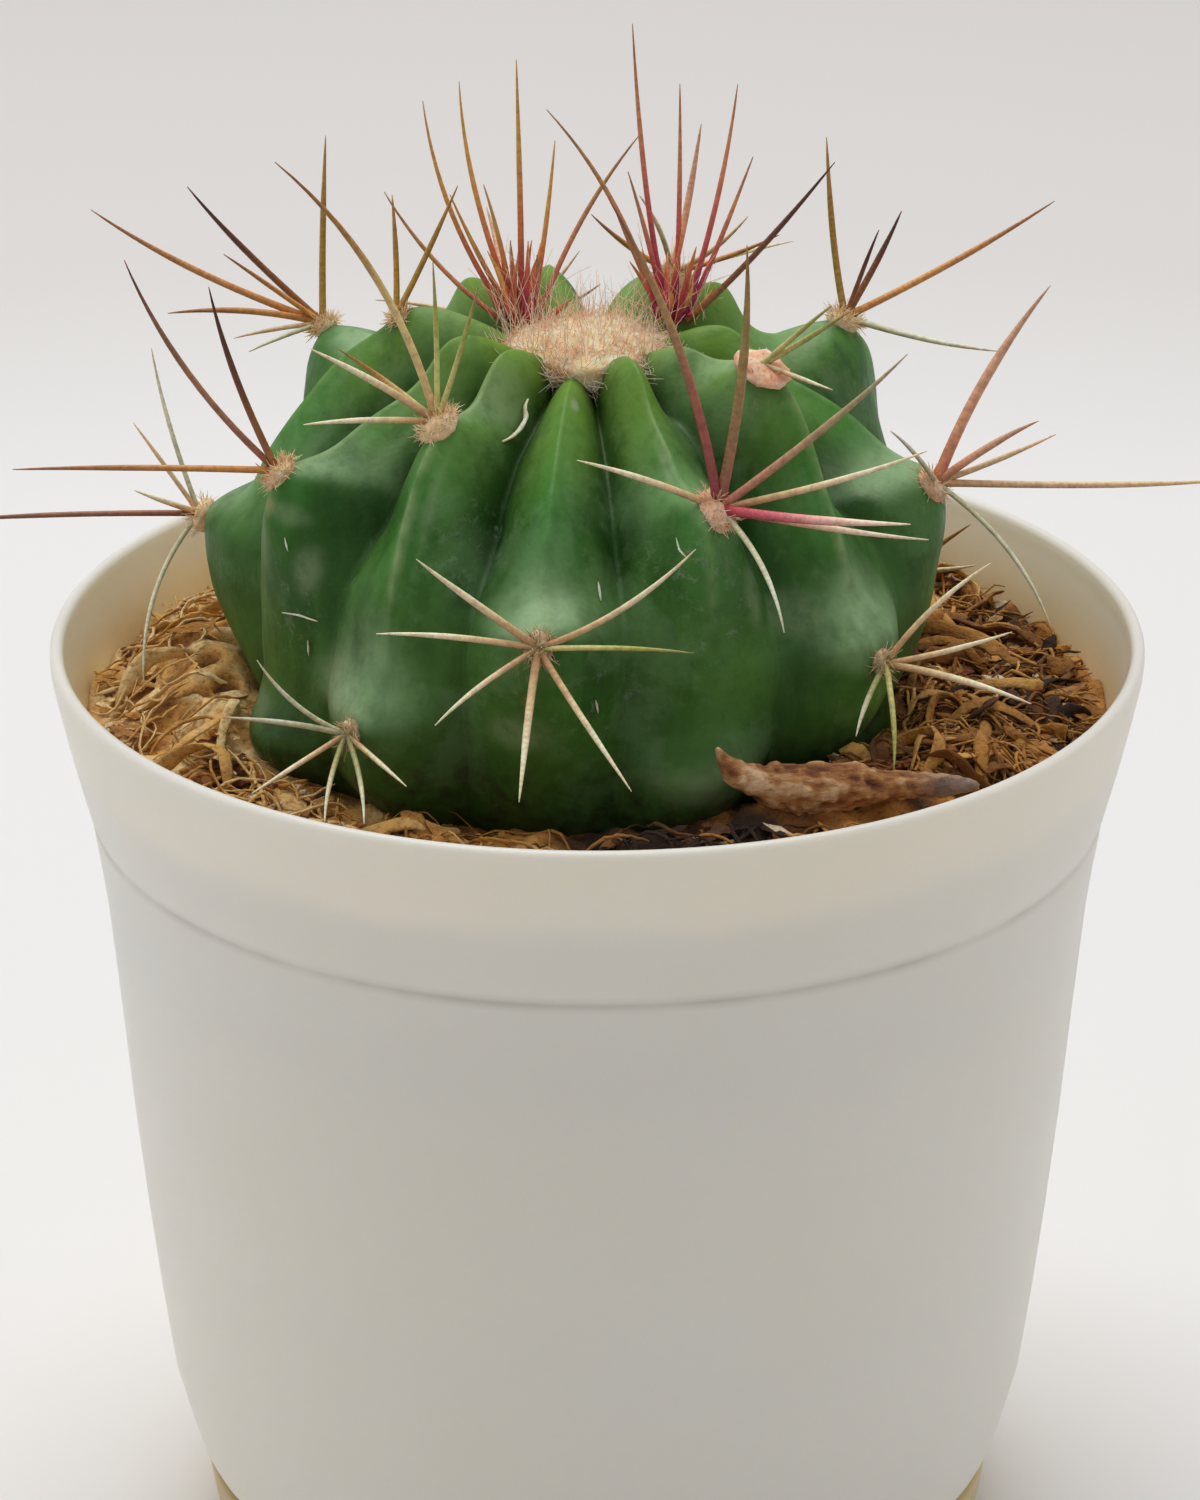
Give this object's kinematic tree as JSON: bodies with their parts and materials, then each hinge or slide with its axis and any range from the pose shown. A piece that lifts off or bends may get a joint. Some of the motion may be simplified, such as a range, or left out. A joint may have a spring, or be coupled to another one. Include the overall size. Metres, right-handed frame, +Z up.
{
  "type": "potted barrel cactus",
  "caption": "Young ribbed barrel cactus with long spines and a woolly crown, growing in husk-topped soil in a plain white plastic pot that stands in a shallow tan dish.",
  "frame": {"origin": "centre of the dish's flat underside, on the surface that the object stands on", "axes": "+Z up along the pot's axis, -Y towards the viewer of the picture, +X to the viewer's right"},
  "size_m": [0.1436, 0.12, 0.1749],
  "materials": {
    "dish": "satin tan",
    "pot": "satin white",
    "soil": "loose coconut husk, matt",
    "bark": "weathered, matt",
    "cactus_skin": "waxy satin",
    "young_spines": "satin",
    "wool": "felted hair, matt",
    "spines": "satin horn"
  },
  "bodies": {
    "root": {"base_dish": "dish", "pot": "pot", "soil": "soil", "bark_piece": "bark", "cactus_body": "cactus_skin", "crown_spines_left": "young_spines", "crown_spines_right": "young_spines", "crown_wool": "wool", "areole_01": "spines", "areole_02": "spines", "areole_03": "spines", "areole_04": "spines", "areole_05": "spines", "areole_06": "spines", "areole_07": "spines", "areole_08": "spines", "areole_09": "spines", "areole_10": "spines", "areole_11": "spines", "areole_12": "spines", "areole_13": "spines", "areole_14": "spines", "areole_15": "spines", "areole_16": "spines", "areole_17": "spines"}
  },
  "joints": []
}
